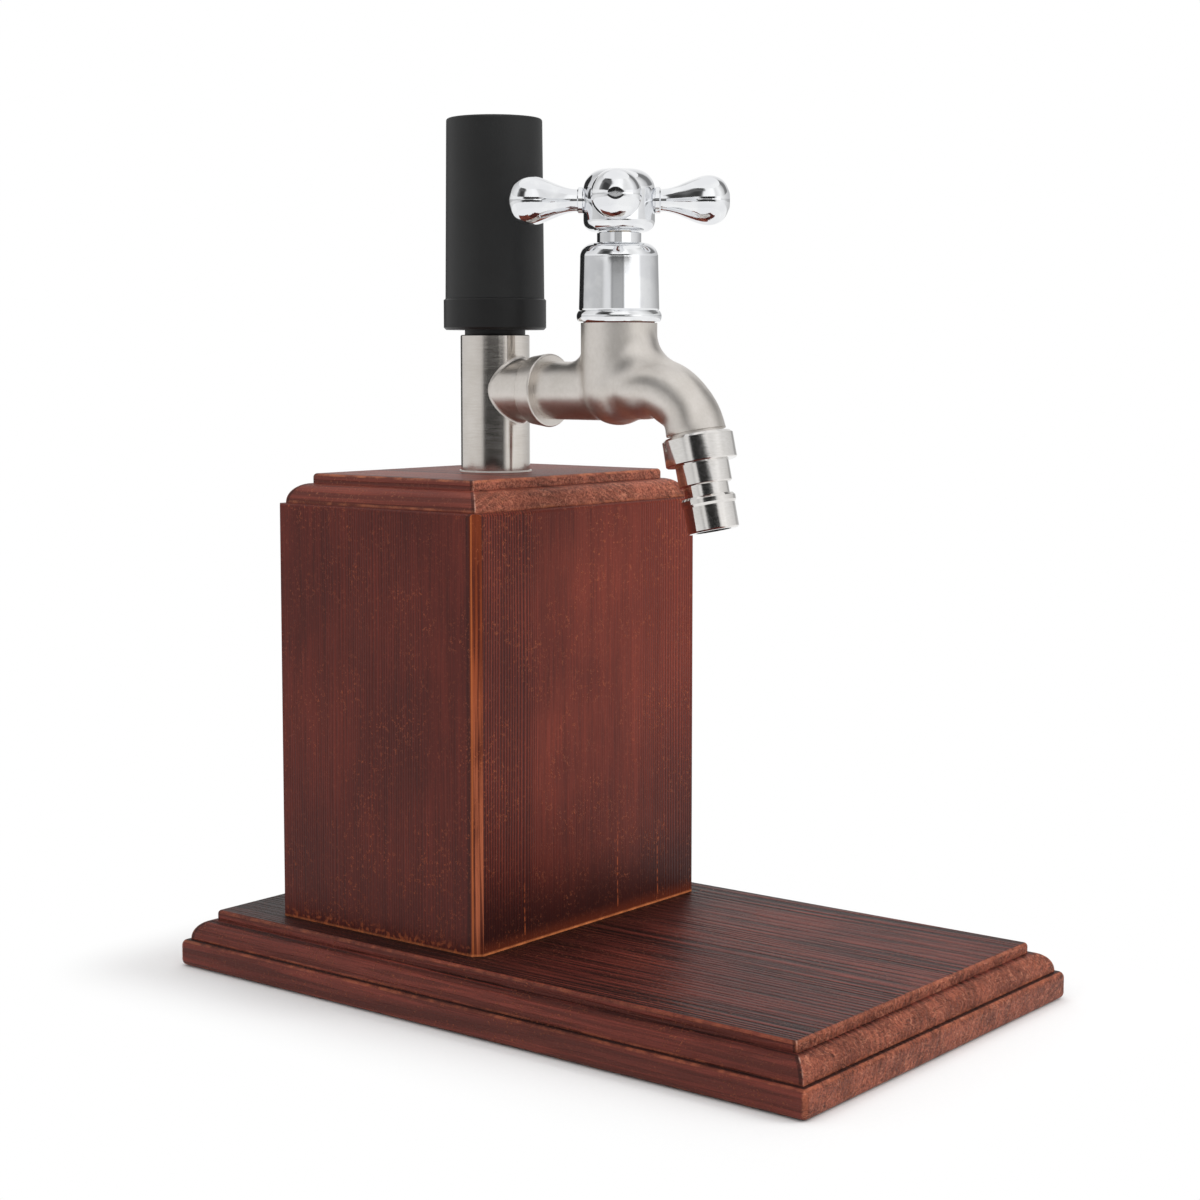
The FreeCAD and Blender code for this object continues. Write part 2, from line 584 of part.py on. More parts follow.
def spindle():
    """Turns with the handle and stays at one height; its lower thread lifts the carrier."""
    foot = HEADWORK_FOOT_Z + 0.5
    thrust_foot, thrust_top = GUIDE_TOP_Z + 0.3, THRUST_TOP_Z - 0.1
    groove = SPINDLE_RADIUS - 0.7
    path = [(0, foot), (STEM_THREAD_RADIUS - 0.4, foot), (STEM_THREAD_RADIUS, foot + 0.5),
            (STEM_THREAD_RADIUS, thrust_foot), (THRUST_RADIUS, thrust_foot), (THRUST_RADIUS, thrust_top),
            (SPINDLE_RADIUS, thrust_top)]
    for z in STEM_RING_HEIGHTS:
        path += [(SPINDLE_RADIUS, z - 0.6), (groove, z - 0.6), (groove, z + 0.6), (SPINDLE_RADIUS, z + 0.6)]
    path += [(SPINDLE_RADIUS, SPINDLE_TOP_Z), (0, SPINDLE_TOP_Z)]
    half = SQUARE_FLATS / 2.0
    square = block(-half, half, STEM_Y - half, STEM_Y + half, SQUARE_FOOT_Z - 0.1, SPINDLE_TOP_Z + 1)
    square.rotate(Vector(0, STEM_Y, 0), Z_AXIS, ARM_TURN)
    lower = upright(10, foot - 4, SQUARE_FOOT_Z, STEM_Y)
    shaft = turned(path, STEM_Y).common(lower.fuse(square))
    return shaft.cut(upright(HANDLE_SCREW_RADIUS + 0.05, 265, SPINDLE_TOP_Z + 1, STEM_Y))


def spindle_o_rings():
    return [Part.makeTorus(3.67, 0.36, Vector(0, STEM_Y, z), Z_AXIS) for z in STEM_RING_HEIGHTS]


def valve_carrier():
    """Slides in the guide; open, it stops just short of the guide's top."""
    top = GUIDE_TOP_Z - THREAD_PITCH * OPEN_TURNS - SPARE_LIFT
    plate_foot, plate_top = VALVE_WASHER_TOP_Z, VALVE_WASHER_TOP_Z + 2.0
    body = hexagon(CARRIER_FLATS, plate_top - 0.1, top, STEM_Y)
    body = body.fuse(upright(6.2, plate_foot, plate_top, STEM_Y))
    body = body.fuse(upright(VALVE_PEG_RADIUS, SEAT_LIP_Z + 0.5, plate_foot + 0.1, STEM_Y))
    return body.cut(upright(STEM_THREAD_RADIUS + 0.08, plate_top - 0.4, top + 1, STEM_Y))


def valve_washer():
    low = SEAT_LIP_Z + 0.05
    hole, radius = VALVE_PEG_RADIUS + 0.05, 6.1
    top = VALVE_WASHER_TOP_Z
    return turned([(hole, low), (radius, low), (radius, top), (hole, top)], STEM_Y)


def handle_arm():
    """One arm along +X: a small collar at the hub, a thin neck, and a pear-shaped end."""
    curve = Part.BSplineCurve()
    curve.interpolate([Vector(x, 0, r) for x, r in ARM_SWELL],
                      InitialTangent=Vector(1, 0, 0.05), FinalTangent=Vector(0, 0, -1))
    neck = ARM_SWELL[0]
    root = 6
    corners = [(root, 0), (root, 3.9), (12.2, 3.9), (12.5, 4.6), (13.9, 4.6), (14.3, neck[1]), neck]
    edges = []
    for start, end in zip(corners, corners[1:]):
        edges.append(edge_of(Vector(start[0], 0, start[1]), None, Vector(end[0], 0, end[1])))
    edges.append(curve.toShape())
    edges.append(edge_of(Vector(ARM_TIP, 0, 0), None, Vector(root, 0, 0)))
    return Part.Face(Part.Wire(edges)).revolve(Vector(0, 0, 0), X_AXIS, 360)


def cross_handle():
    """Domed hub with four arms, closed position."""
    crown = HUB_TOP_Z - 0.25
    hub = turned([(0, HANDLE_BOTTOM_Z), (8.6, HANDLE_BOTTOM_Z), ((11.3, 264.65), (HUB_RADIUS, 267.3)),
                  (HUB_RADIUS, 277.6), ((10.5, 282.4), (5.6, crown)), (0, crown)])
    arms = []
    for n in range(4):
        arm = handle_arm()
        arm.translate(Vector(0, 0, ARM_Z))
        arm.rotate(Vector(0, 0, 0), Z_AXIS, ARM_TURN + 90 * n)
        arms.append(arm)
    handle = hub.fuse(arms)
    half = SQUARE_FLATS / 2.0 + 0.05
    square = block(-half, half, -half, half, HANDLE_BOTTOM_Z - 1, SPINDLE_TOP_Z + 0.2)
    square.rotate(Vector(0, 0, 0), Z_AXIS, ARM_TURN)
    stem = upright(SPINDLE_RADIUS + 0.1, HANDLE_BOTTOM_Z - 1, SQUARE_FOOT_Z + 0.2)
    screw_hole = upright(HANDLE_SCREW_RADIUS + 0.4, SPINDLE_TOP_Z, SCREW_SEAT_Z + 1)
    screw_well = upright(3.8, SCREW_SEAT_Z, CAP_SEAT_Z + 1)
    cap_seat = upright(CAP_RADIUS + 0.05, CAP_SEAT_Z, HUB_TOP_Z + 1)
    for hollow in (square, stem, screw_hole, screw_well, cap_seat):
        handle = handle.cut(hollow)
    handle.translate(Vector(0, STEM_Y, 0))
    return handle


def handle_screw():
    radius, head, top = HANDLE_SCREW_RADIUS, 3.5, SCREW_SEAT_Z + 2.6
    return turned([(0, 266), (radius, 266), (radius, SCREW_SEAT_Z), (head, SCREW_SEAT_Z), (head, top - 0.6),
                   (head - 0.6, top), (0, top)], STEM_Y)


def handle_cap():
    """Small domed cap that closes the screw hole in the hub."""
    radius, dome = CAP_RADIUS, 0.3
    ball = (radius ** 2 + dome ** 2) / (2 * dome)
    middle = (radius / 2, HUB_TOP_Z - ball + math.sqrt(ball ** 2 - radius ** 2 / 4))
    return turned([(0, CAP_SEAT_Z), (radius, CAP_SEAT_Z), (radius, HUB_TOP_Z - dome),
                   (middle, (0, HUB_TOP_Z))], STEM_Y)


def nozzle_nut():
    lip = NUT_END - 1.9
    soft = 0.8
    nut = turned([(10.5, -NUT_START), (NUT_RADIUS - soft, -NUT_START), (NUT_RADIUS, -NUT_START - soft),
                  (NUT_RADIUS, -NUT_END + 0.4), (NUT_RADIUS - 0.4, -NUT_END), (BARREL_RADIUS + 0.1, -NUT_END),
                  (BARREL_RADIUS + 0.1, -lip), (10.5, -lip)])
    return on_nozzle(nut)


def nozzle_washer():
    return on_nozzle(turned([(7.0, -4.9), (7.0, -6.4), (10.3, -6.4), (10.3, -4.9)]))


def nozzle_tail():
    """Hose tail: flange held by the nut, barrel, groove, rib and plain end."""
    soft = 0.5
    return on_nozzle(turned([
        (NOZZLE_BORE, -6.45), (10.3, -6.45), (10.3, -8.5), (BARREL_RADIUS, -8.5),
        (BARREL_RADIUS, -BARREL_END + soft), (BARREL_RADIUS - soft, -BARREL_END),
        (GROOVE_RADIUS, -BARREL_END), (GROOVE_RADIUS, -GROOVE_END), (RIB_RADIUS - 0.6, -GROOVE_END),
        (RIB_RADIUS, -GROOVE_END - 0.8), (RIB_RADIUS, -RIB_END + 0.9), (TAIL_RADIUS, -RIB_END),
        (TAIL_RADIUS, -TAIL_END + soft), (TAIL_RADIUS - soft, -TAIL_END), (NOZZLE_BORE, -TAIL_END),
    ]))


def main():
    os.makedirs("parts", exist_ok=True)
    save("base_board", base_board())
    for name, panel in box_panels().items():
        save(name, panel)
    save("box_top_board", box_top_board())
    save("corner_blocks", *corner_blocks())
    save("base_screws", *[wood_screw(x, y) for x, y in screw_places()])
    for make in (foot_washer, column_pipe, branch_socket, weld_bead, column_plug, fixing_washer, fixing_nut,
                 sleeve_cup, bottle_sleeve, inlet_washer, tap_body, headwork, headwork_gasket, bonnet_cover,
                 gland_nut, spindle, valve_carrier, valve_washer, cross_handle, handle_screw, handle_cap,
                 nozzle_nut, nozzle_washer, nozzle_tail):
        save(make.__name__, make())
    save("spigot_o_rings", *spigot_o_rings())
    save("spindle_o_rings", *spindle_o_rings())


main()
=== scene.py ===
import functools
import math

import bpy
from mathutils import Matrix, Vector

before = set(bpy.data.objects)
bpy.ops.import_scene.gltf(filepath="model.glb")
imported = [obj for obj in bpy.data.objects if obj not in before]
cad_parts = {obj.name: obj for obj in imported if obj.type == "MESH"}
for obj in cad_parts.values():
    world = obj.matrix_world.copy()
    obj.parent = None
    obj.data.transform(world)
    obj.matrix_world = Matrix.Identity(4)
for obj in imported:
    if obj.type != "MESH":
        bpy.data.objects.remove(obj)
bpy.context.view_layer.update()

# Heights and widths of the wooden parts, in metres, for the places where the stain wears through
# and where light and shade are painted on.
BASE_HALF_X = 0.0815
BASE_HALF_Y = 0.136
BASE_TOP = 0.020
BASE_LEDGE_Z = 0.0095
BOX_HALF_X = 0.062
BOX_FRONT_Y = 0.008
BOX_BACK_Y = 0.104
BOX_TOP = 0.169
BOX_CHAMFER = 0.003
TOP_BOARD_Z = 0.1795
# Upright cracks at the foot of the front panel: where across it, and how far up from the base.
FOOT_CRACKS = ((-0.0372, 0.030), (0.0144, 0.050), (0.0382, 0.038))

# The camera, fitted to the corners of the base and the box: metres, millimetres and degrees.
CAMERA_PLACE = (-0.61134819, -0.4822938, 0.22121404)
CAMERA_LENS = 67.174
CAMERA_SHIFT = -0.03333
CAMERA_DIP = 5.217964
CAMERA_TURN = -51.43679

# Lamps: name, place, what they point at, width, height, and power in watts.
LAMPS = (("key_softbox", (0.65, -1.15, 0.95), (0, 0, 0.15), 0.8, 0.8, 9.5),
         ("top_softbox", (0.1, 0.1, 1.5), (0, 0, 0.1), 1.4, 1.4, 7.0),
         ("fill_softbox", (-1.3, 0.1, 0.9), (0, 0, 0.15), 0.6, 0.8, 2.0))
WORLD_LEVEL = 0.70
FLOOR_REACH = 6.0
FLOOR_DROP = 0.0002
# How far from the base the floor's shadow starts to fade to the white background, and where it is gone.
SHADOW_FADE = (0.003, 0.050)

# What the metal reflects round the studio. Degrees from the camera's side, then the brightness low down, at
# the height that the bonnet mirrors, at the height that the tilted nozzle mirrors, and above.
TENT = ((-180, 0.95, 0.95, 0.95, 0.95), (-167, 0.95, 0.95, 0.95, 0.95), (-160, 0.05, 0.04, 0.05, 0.80),
        (-144, 0.05, 0.04, 0.05, 0.70), (-136, 0.75, 0.50, 0.80, 0.60), (-100, 0.82, 0.64, 0.90, 0.80),
        (-72, 0.82, 0.60, 0.95, 0.90), (-64, 0.80, 0.58, 0.95, 0.25), (-50, 0.75, 0.56, 0.95, 0.06),
        (-42, 0.55, 0.80, 0.95, 0.05), (-36, 0.12, 0.85, 0.90, 0.06), (-30, 0.04, 0.85, 0.30, 0.10),
        (-26, 0.03, 0.80, 0.03, 0.45), (-21, 0.03, 0.38, 0.02, 1.00), (-15, 0.03, 0.46, 0.02, 1.05),
        (8, 0.03, 0.48, 0.02, 1.10), (12, 0.03, 0.40, 0.02, 1.15), (16, 0.03, 1.30, 0.02, 1.15),
        (27, 0.05, 1.30, 0.03, 1.10), (32, 0.35, 1.30, 0.60, 0.90), (40, 0.90, 1.30, 1.10, 0.85),
        (58, 1.00, 1.30, 1.15, 1.00), (66, 1.00, 0.85, 1.00, 1.00), (100, 0.90, 0.72, 0.80, 0.60),
        (112, 0.80, 0.62, 0.75, 0.22), (136, 0.65, 0.45, 0.65, 0.22), (148, 0.60, 0.40, 0.60, 0.80),
        (162, 0.60, 0.38, 0.60, 0.90), (168, 0.95, 0.95, 0.95, 0.95), (180, 0.95, 0.95, 0.95, 0.95))
# The heights between which one level of the tent goes over into the next.
TENT_STEPS = ((0.26, 0.31), (0.466, 0.476), (0.82, 0.90))
# The tent's floor: where its near and far rings are, and where its white goes over into the low level.
TENT_NEAR = 0.34
TENT_FAR = 2.4
TENT_HIGH = 3.4
TENT_FLOOR_FADE = (1.6, 1.9)
TENT_SIDES = 96
# A ramp's colours stop at 1, so the levels are halved in it and the cards shine with twice the strength.
CARD_STRENGTH = 2.0
# A dark card high up, where the knobs of the handle mirror it: height, reach, degrees, reach in degrees.
HIGH_CARD = (2.55, 0.55, -45, 34)


class Paint:
    """A material with one principled shader, and short calls for the nodes that feed it."""

    def __init__(self, name, metallic=0.0, roughness=0.5, **fixed):
        self.material = bpy.data.materials.new(name)
        self.material.use_nodes = True
        self.tree = self.material.node_tree
        self.tree.nodes.clear()
        self.shader = self.tree.nodes.new("ShaderNodeBsdfPrincipled")
        self.surface = self.tree.nodes.new("ShaderNodeOutputMaterial").inputs["Surface"]
        self.tree.links.new(self.shader.outputs["BSDF"], self.surface)
        self.shader.inputs["Metallic"].default_value = metallic
        self.shader.inputs["Roughness"].default_value = roughness
        for key, value in fixed.items():
            self.shader.inputs[key.replace("_", " ").title().replace("Ior", "IOR")].default_value = value
        coords = self.tree.nodes.new("ShaderNodeTexCoord")
        self.place = coords.outputs["Object"]
        self.normal = coords.outputs["Normal"]

    def put(self, socket, value):
        if isinstance(value, bpy.types.NodeSocket):
            self.tree.links.new(value, socket)
        else:
            socket.default_value = value

    def add(self, kind, inputs, **settings):
        node = self.tree.nodes.new(kind)
        for key, value in settings.items():
            setattr(node, key, value)
        for key, value in inputs.items():
            self.put(node.inputs[key], value)
        return node.outputs[0]

    def math(self, operation, *values):
        return self.add("ShaderNodeMath", dict(enumerate(values)), operation=operation)

    def plus(self, *values):
        return functools.reduce(functools.partial(self.math, "ADD"), values)

    def times(self, *values):
        return functools.reduce(functools.partial(self.math, "MULTIPLY"), values)

    def less(self, value, taken):
        return self.math("SUBTRACT", value, taken)

    def larger(self, a, b):
        return self.math("MAXIMUM", a, b)

    def size(self, value):
        return self.math("ABSOLUTE", value)

    def length(self, a, b):
        return self.math("SQRT", self.plus(self.math("POWER", a, 2.0), self.math("POWER", b, 2.0)))

    def split(self, vector):
        node = self.tree.nodes.new("ShaderNodeSeparateXYZ")
        self.put(node.inputs[0], vector)
        return node.outputs[0], node.outputs[1], node.outputs[2]

    def join(self, x, y, z):
        return self.add("ShaderNodeCombineXYZ", {0: x, 1: y, 2: z})

    def stretch(self, *factors):
        """The place on the object, scaled along x, y and z."""
        return self.add("ShaderNodeVectorMath", {0: self.place, 1: factors}, operation="MULTIPLY")

    def noise(self, vector, scale=1.0, detail=2.0, rough=0.5, warp=0.0):
        return self.add("ShaderNodeTexNoise", {"Vector": vector, "Scale": scale, "Detail": detail,
                                               "Roughness": rough, "Distortion": warp})

    def step(self, value, low, high, a=0.0, b=1.0):
        """A smooth change from a to b while the value goes from low to high."""
        return self.add("ShaderNodeMapRange", {0: value, 1: low, 2: high, 3: a, 4: b},
                        interpolation_type="SMOOTHSTEP")

    def near(self, value, middle, reach):
        """1 where the value is at the middle, 0 beyond the reach."""
        return self.step(self.size(self.less(value, middle)), reach * 0.4, reach, 1.0, 0.0)

    def mix(self, factor, a, b):
        node = self.tree.nodes.new("ShaderNodeMix")
        node.data_type = "RGBA"
        self.put(node.inputs[0], factor)
        self.put(node.inputs[6], a)
        self.put(node.inputs[7], b)
        return node.outputs[2]

    def finish(self, colour, roughness, height, depth, strength):
        """Feed the shader. The bump has this height's relief, depth metres deep where it is 1."""
        self.put(self.shader.inputs["Base Color"], colour)
        self.put(self.shader.inputs["Roughness"], roughness)
        bump = self.add("ShaderNodeBump", {"Height": height, "Distance": depth, "Strength": strength})
        self.put(self.shader.inputs["Normal"], bump)
        return self.material


def rgb(red, green, blue):
    """Linear colour of a written sRGB colour."""
    linear = [v / 255 / 12.92 if v <= 10 else ((v / 255 + 0.055) / 1.055) ** 2.4 for v in (red, green, blue)]
    return (*linear, 1.0)


# Colours of the wear on the box's panels, and of the painted light towards the front's upper right
CHAMFER_DARK = rgb(78, 28, 15)
CHAMFER_LOW = rgb(178, 96, 62)
CHAMFER_HIGH = rgb(140, 60, 22)
CHAMFER_EDGE = rgb(206, 112, 56)
FRONT_PAINTED_LIGHT = rgb(150, 62, 44)
FOOT_GLOW = rgb(150, 66, 34)
FOOT_CRACK = rgb(206, 104, 58)
FOOT_SPOT = rgb(186, 96, 56)
FOOT_LINE = rgb(232, 138, 84)
# Colours of the wear on the moulded boards, of the painted light on their sides along x, and of the
# painted highlights on the end grain and up the mitre
LONG_SIDE_LIGHT = rgb(128, 64, 54)
END_BROWN = rgb(128, 66, 50)
END_HIGHLIGHT = rgb(214, 142, 112)
BOARD_CORNER = rgb(186, 104, 74)
MITRE_HIGHLIGHT = rgb(216, 176, 156)


def year_rings(paint, u, v, pith, seed, pitch, stretched):
    """1 on the late, dark part of each ring round the pith. pitch is in rings per metre."""
    sway = paint.times(paint.less(paint.noise(stretched(24.0, 5.0), detail=1.0), 0.5), 0.005)
    radius = paint.plus(paint.length(paint.less(u, pith[0]), paint.less(v, pith[1])), sway)
    pace = paint.noise(paint.join(paint.times(radius, 70.0), seed, 0.0), detail=1.0)
    count = paint.plus(paint.times(radius, pitch), paint.times(pace, 5.0))
    phase = paint.math("FRACT", count)
    return paint.times(paint.step(phase, 0.25, 0.6), paint.step(phase, 0.8, 1.0, 1.0, 0.0))


def flecks(paint, stretched):
    """Fine broken lines in patches, where the varnish has cracked."""
    worm = paint.near(paint.noise(stretched(1150.0, 700.0), detail=1.0, warp=1.2), 0.5, 0.06)
    broken = paint.step(paint.noise(paint.place, scale=800.0), 0.53, 0.63)
    patchy = paint.step(paint.noise(paint.place, scale=55.0), 0.40, 0.62, 0.25, 1.0)
    return paint.times(worm, broken, patchy)


def wood(name, along, pith, tones, seed, wear_and_painted_light, bands=(), pitch=470.0, line=0.8, least=0.12, pores=0.4,
         dash=0.15, depth=0.00016):
    """Stained pine. along is the grain's axis, pith the ring centre across it in metres, and tones are dark,
    middle, light and rubbed. worn adds the wear and the painted light and shade. bands are where the rings
    show on
    an upright face: axis, middle, reach. Outside them, or in patches where there are none, the rings keep the
    share least. line, pores and dash say how dark rings, pores and short dashes are, and depth is the bump's,
    in metres."""
    paint = Paint(name, roughness=0.45, specular_ior_level=0.16)
    place = x, y, z = paint.split(paint.place)
    u, v, w = (x, y, z) if along == "Z" else (x, z, y)
    shift_u = seed * 0.37
    shift_v = shift_u * 0.5
    u = paint.plus(u, shift_u)
    v = paint.plus(v, shift_v)

    def stretched(across, length):
        return paint.join(paint.times(u, across), paint.times(v, across), paint.times(w, length))

    late = year_rings(paint, u, v, (pith[0] + shift_u, pith[1] + shift_v), seed, pitch, stretched)
    if bands:
        zone = least
        for axis, middle, reach in bands:
            zone = paint.larger(zone, paint.near(place[axis], middle, reach))
    else:
        zone = paint.step(paint.noise(stretched(42.0, 5.0), detail=1.0), 0.42, 0.62, least, 1.0)
    late = paint.times(late, zone)
    fibre = paint.noise(stretched(2300.0, 40.0), detail=3.0, rough=0.6)
    streak = paint.noise(stretched(300.0, 6.0))
    blotch = paint.noise(paint.place, scale=24.0, detail=4.0)
    craze = flecks(paint, stretched)
    _, ny, nz = paint.split(paint.normal)
    end = paint.step(paint.size(nz if along == "Z" else ny), 0.12, 0.35)

    dark, middle, light, rubbed = tones
    tone = paint.plus(paint.times(streak, 0.5), paint.times(blotch, 1.3))
    colour = paint.mix(paint.step(tone, 0.60, 1.24), middle, light)
    dashes = paint.step(paint.noise(stretched(480.0, 16.0), detail=3.0), 0.50, 0.60, 0.0, dash)
    colour = paint.mix(dashes, colour, dark)
    colour = paint.mix(paint.times(late, line), colour, dark)
    colour = paint.mix(paint.step(fibre, 0.34, 0.62, pores, 0.0), colour, dark)
    # This lays on the wear, and the painted light and shade.
    colour = wear_and_painted_light(paint, colour, rubbed, dark, place, late)
    colour = paint.mix(paint.times(craze, paint.step(end, 0.0, 1.0, 0.34, 0.6)), colour, rubbed)
    groove = paint.times(late, paint.step(end, 0.0, 1.0, -0.5, -0.06))
    height = paint.plus(paint.times(fibre, 0.5), groove, paint.times(craze, 0.5))
    height = paint.less(height, paint.times(dashes, 0.5))
    rough = paint.plus(paint.times(fibre, 0.18), 0.36)
    return paint.finish(colour, rough, height, depth=depth, strength=0.8)


def rub_and_highlight(paint, colour, rubbed, mask, amount, scale=150.0, least=0.15):
    """Where the mask is 1, the stain is rubbed through in patches; at the moulding's mitre this lays on a
    painted highlight instead.
    """
    patch = paint.step(paint.noise(paint.place, scale=scale, detail=4.0, rough=0.7), 0.4, 0.66, least, 1.0)
    return paint.mix(paint.times(mask, patch, amount), colour, rubbed)


def panel_painted_shade_and_lines(paint, colour, dark, place, front, flat):
    """Painted shade: the panels get darker towards the base, most on the front, and have a dark line beside
    each chamfer.
    """
    x, y, z = place
    # Painted shade, darkening the panels towards the base.
    low = paint.step(z, BASE_TOP - 0.004, BASE_TOP + 0.055, 0.75, 0.0)
    cloud = paint.noise(paint.stretch(30.0, 30.0, 18.0), detail=3.0)
    low = paint.times(low, paint.step(cloud, 0.3, 0.65, 0.55, 1.0))
    colour = paint.mix(paint.times(low, paint.step(front, 0.0, 1.0, 0.35, 1.0)), colour, dark)
    # Painted shade, darker still on the front just above the base.
    painted_foot_shade = paint.times(paint.step(z, BASE_TOP + 0.004, BASE_TOP + 0.030, 0.8, 0.0), front)
    colour = paint.mix(painted_foot_shade, colour, dark)
    front_line = paint.times(paint.near(paint.size(x), BOX_HALF_X - BOX_CHAMFER - 0.0003, 0.0009), 0.4)
    side_line = paint.near(y, BOX_FRONT_Y + BOX_CHAMFER + 0.0006, 0.0014)
    side_line = paint.times(side_line, paint.less(1.0, front), 0.6)
    return paint.mix(paint.times(paint.larger(front_line, side_line), flat), colour, dark)


def chamfer_colour(paint, place):
    """Orange drag marks along the upright corner, darker towards one side, with a light line on the other."""
    x, y, z = place
    across = paint.less(paint.less(BOX_HALF_X, paint.size(x)), paint.less(y, BOX_FRONT_Y))
    drag = paint.noise(paint.stretch(1300.0, 1300.0, 22.0))
    gone = paint.noise(paint.stretch(90.0, 90.0, 45.0))
    pale = paint.mix(paint.step(z, 0.060, BOX_TOP - 0.02), CHAMFER_LOW, CHAMFER_HIGH)
    marks = paint.step(paint.plus(paint.times(drag, 0.65), paint.times(gone, 0.35)), 0.38, 0.60)
    shade = paint.times(paint.step(across, -0.0028, -0.0014, 0.35, 1.0), marks,
                        paint.step(z, 0.110, BOX_TOP - 0.008, 1.0, 0.6))
    edge = paint.times(paint.near(across, -0.0021, 0.0005), 0.6)
    return paint.mix(edge, paint.mix(shade, CHAMFER_DARK, pale), CHAMFER_EDGE)


def panel_foot(paint, colour, place, front, flat):
    """A glow, short cracks and a bright line where the front meets the base, and spots at the sides."""
    x, _, z = place
    glow = paint.times(paint.step(z, BASE_TOP, BASE_TOP + 0.006, 0.35, 0.0), front)
    colour = paint.mix(glow, colour, FOOT_GLOW)
    sway = paint.times(paint.noise(paint.stretch(0.0, 0.0, 60.0)), 0.0012)
    broken = paint.times(paint.step(paint.noise(paint.stretch(0.0, 0.0, 340.0)), 0.42, 0.56), front)
    for middle, tall in FOOT_CRACKS:
        crack = paint.near(paint.plus(x, sway), middle, 0.0004)
        short = paint.step(z, BASE_TOP + tall * 0.3, BASE_TOP + tall, 0.5, 0.0)
        colour = paint.mix(paint.times(crack, short, broken), colour, FOOT_CRACK)
    ragged = paint.step(paint.noise(paint.place, scale=520.0, detail=3.0), 0.5, 0.62)
    ragged = paint.times(ragged, paint.less(1.0, front), flat,
                         paint.step(z, BASE_TOP + 0.001, BASE_TOP + 0.005, 0.45, 0.0))
    colour = paint.mix(ragged, colour, FOOT_SPOT)
    line = paint.step(z, BASE_TOP + 0.0003, BASE_TOP + 0.0011, 1.0, 0.0)
    line = paint.times(line, paint.step(front, 0.0, 1.0, 0.4, 1.0))
    return rub_and_highlight(paint, colour, FOOT_LINE, line, 1.0, least=0.5)


def panel_wear_and_painted_light(paint, colour, _rubbed, dark, place, _late):
    """Chamfered upright corners rubbed orange, dark lines beside them, a bright foot, painted shade on the
    lower part, and painted light towards the front's upper right.
    """
    x, _, z = place
    nx, ny, _ = paint.split(paint.normal)
    corner = paint.step(paint.size(paint.times(nx, ny)), 0.3, 0.42)
    flat = paint.less(1.0, corner)
    front = paint.step(ny, -0.9, -0.5, 1.0, 0.0)
    colour = panel_painted_shade_and_lines(paint, colour, dark, place, front, flat)
    colour = paint.mix(paint.times(corner, 0.95), colour, chamfer_colour(paint, place))
    # Painted light: the front panel is painted lighter towards its right and its upper part.
    painted_front_light = paint.times(paint.step(x, -0.01, 0.06, 0.0, 0.3), paint.step(z, 0.05, 0.13, 0.2, 1.0))
    colour = paint.mix(paint.times(painted_front_light, front, flat), colour, FRONT_PAINTED_LIGHT)
    return panel_foot(paint, colour, place, front, flat)


def end_grain(paint, tone, dark, late, rings):
    """Coppery specks, dark clouds and rings, cracks, and painted highlights in the lighter lines between
    them.
    """
    speck = paint.noise(paint.place, scale=1300.0, detail=3.0, rough=0.7)
    cloud = paint.noise(paint.place, scale=110.0, detail=3.0)
    colour = paint.mix(paint.step(speck, 0.34, 0.68), END_BROWN, tone)
    colour = paint.mix(paint.step(cloud, 0.42, 0.62, 0.35, 0.0), colour, dark)
    colour = paint.mix(paint.times(late, rings), colour, dark)
    crack = paint.near(paint.noise(paint.stretch(150.0, 220.0, 300.0), warp=0.8), 0.5, 0.014)
    colour = paint.mix(paint.times(crack, 0.55), colour, dark)
    # Painted highlights: thin light lines on the end grain.
    painted_highlight = paint.near(paint.noise(paint.stretch(190.0, 240.0, 340.0), warp=0.8), 0.56, 0.016)
    return paint.mix(paint.times(painted_highlight, 0.5), colour, END_HIGHLIGHT)


def box_painted_shadow(paint, place):
    """1 in a painted shadow round the box's foot, dark in a ragged strip beside it and fading out over the
    base's top.
    """
    x, y, z = place
    gap = paint.larger(paint.less(paint.size(x), BOX_HALF_X), paint.less(BOX_FRONT_Y, y))
    torn = paint.times(paint.less(paint.noise(paint.place, scale=300.0, detail=3.0), 0.5), 0.006)
    # Painted shadow: darkest in a ragged strip a few millimetres wide beside the box.
    foot_shadow = paint.step(paint.plus(gap, torn), 0.0016, 0.0036, 0.9, 0.0)
    return paint.times(paint.larger(foot_shadow, paint.step(gap, 0.0, 0.036, 0.6, 0.0)),
                       paint.near(z, BASE_TOP, 0.0006))


def mitre_painted_light(paint, colour, dark, place, side, corner):
    """A painted shade and a painted highlight up the moulding's corner."""
    x, y, z = place
    reach_x, reach_y, middle_y, ledge = corner
    mitre = paint.less(paint.less(reach_x, paint.size(x)),
                       paint.less(reach_y, paint.size(paint.less(y, middle_y))))
    above = paint.times(side, paint.step(z, ledge, ledge + 0.0006))
    # Painted shade beside the mitre.
    shade = paint.times(paint.near(mitre, -0.0009, 0.0009), above, 0.6)
    colour = paint.mix(shade, colour, dark)
    # Painted highlight along the mitre, in patches.
    line = paint.times(paint.near(mitre, 0.0001, 0.0005), above)
    return rub_and_highlight(paint, colour, MITRE_HIGHLIGHT, line, 0.5, scale=400.0, least=0.0)


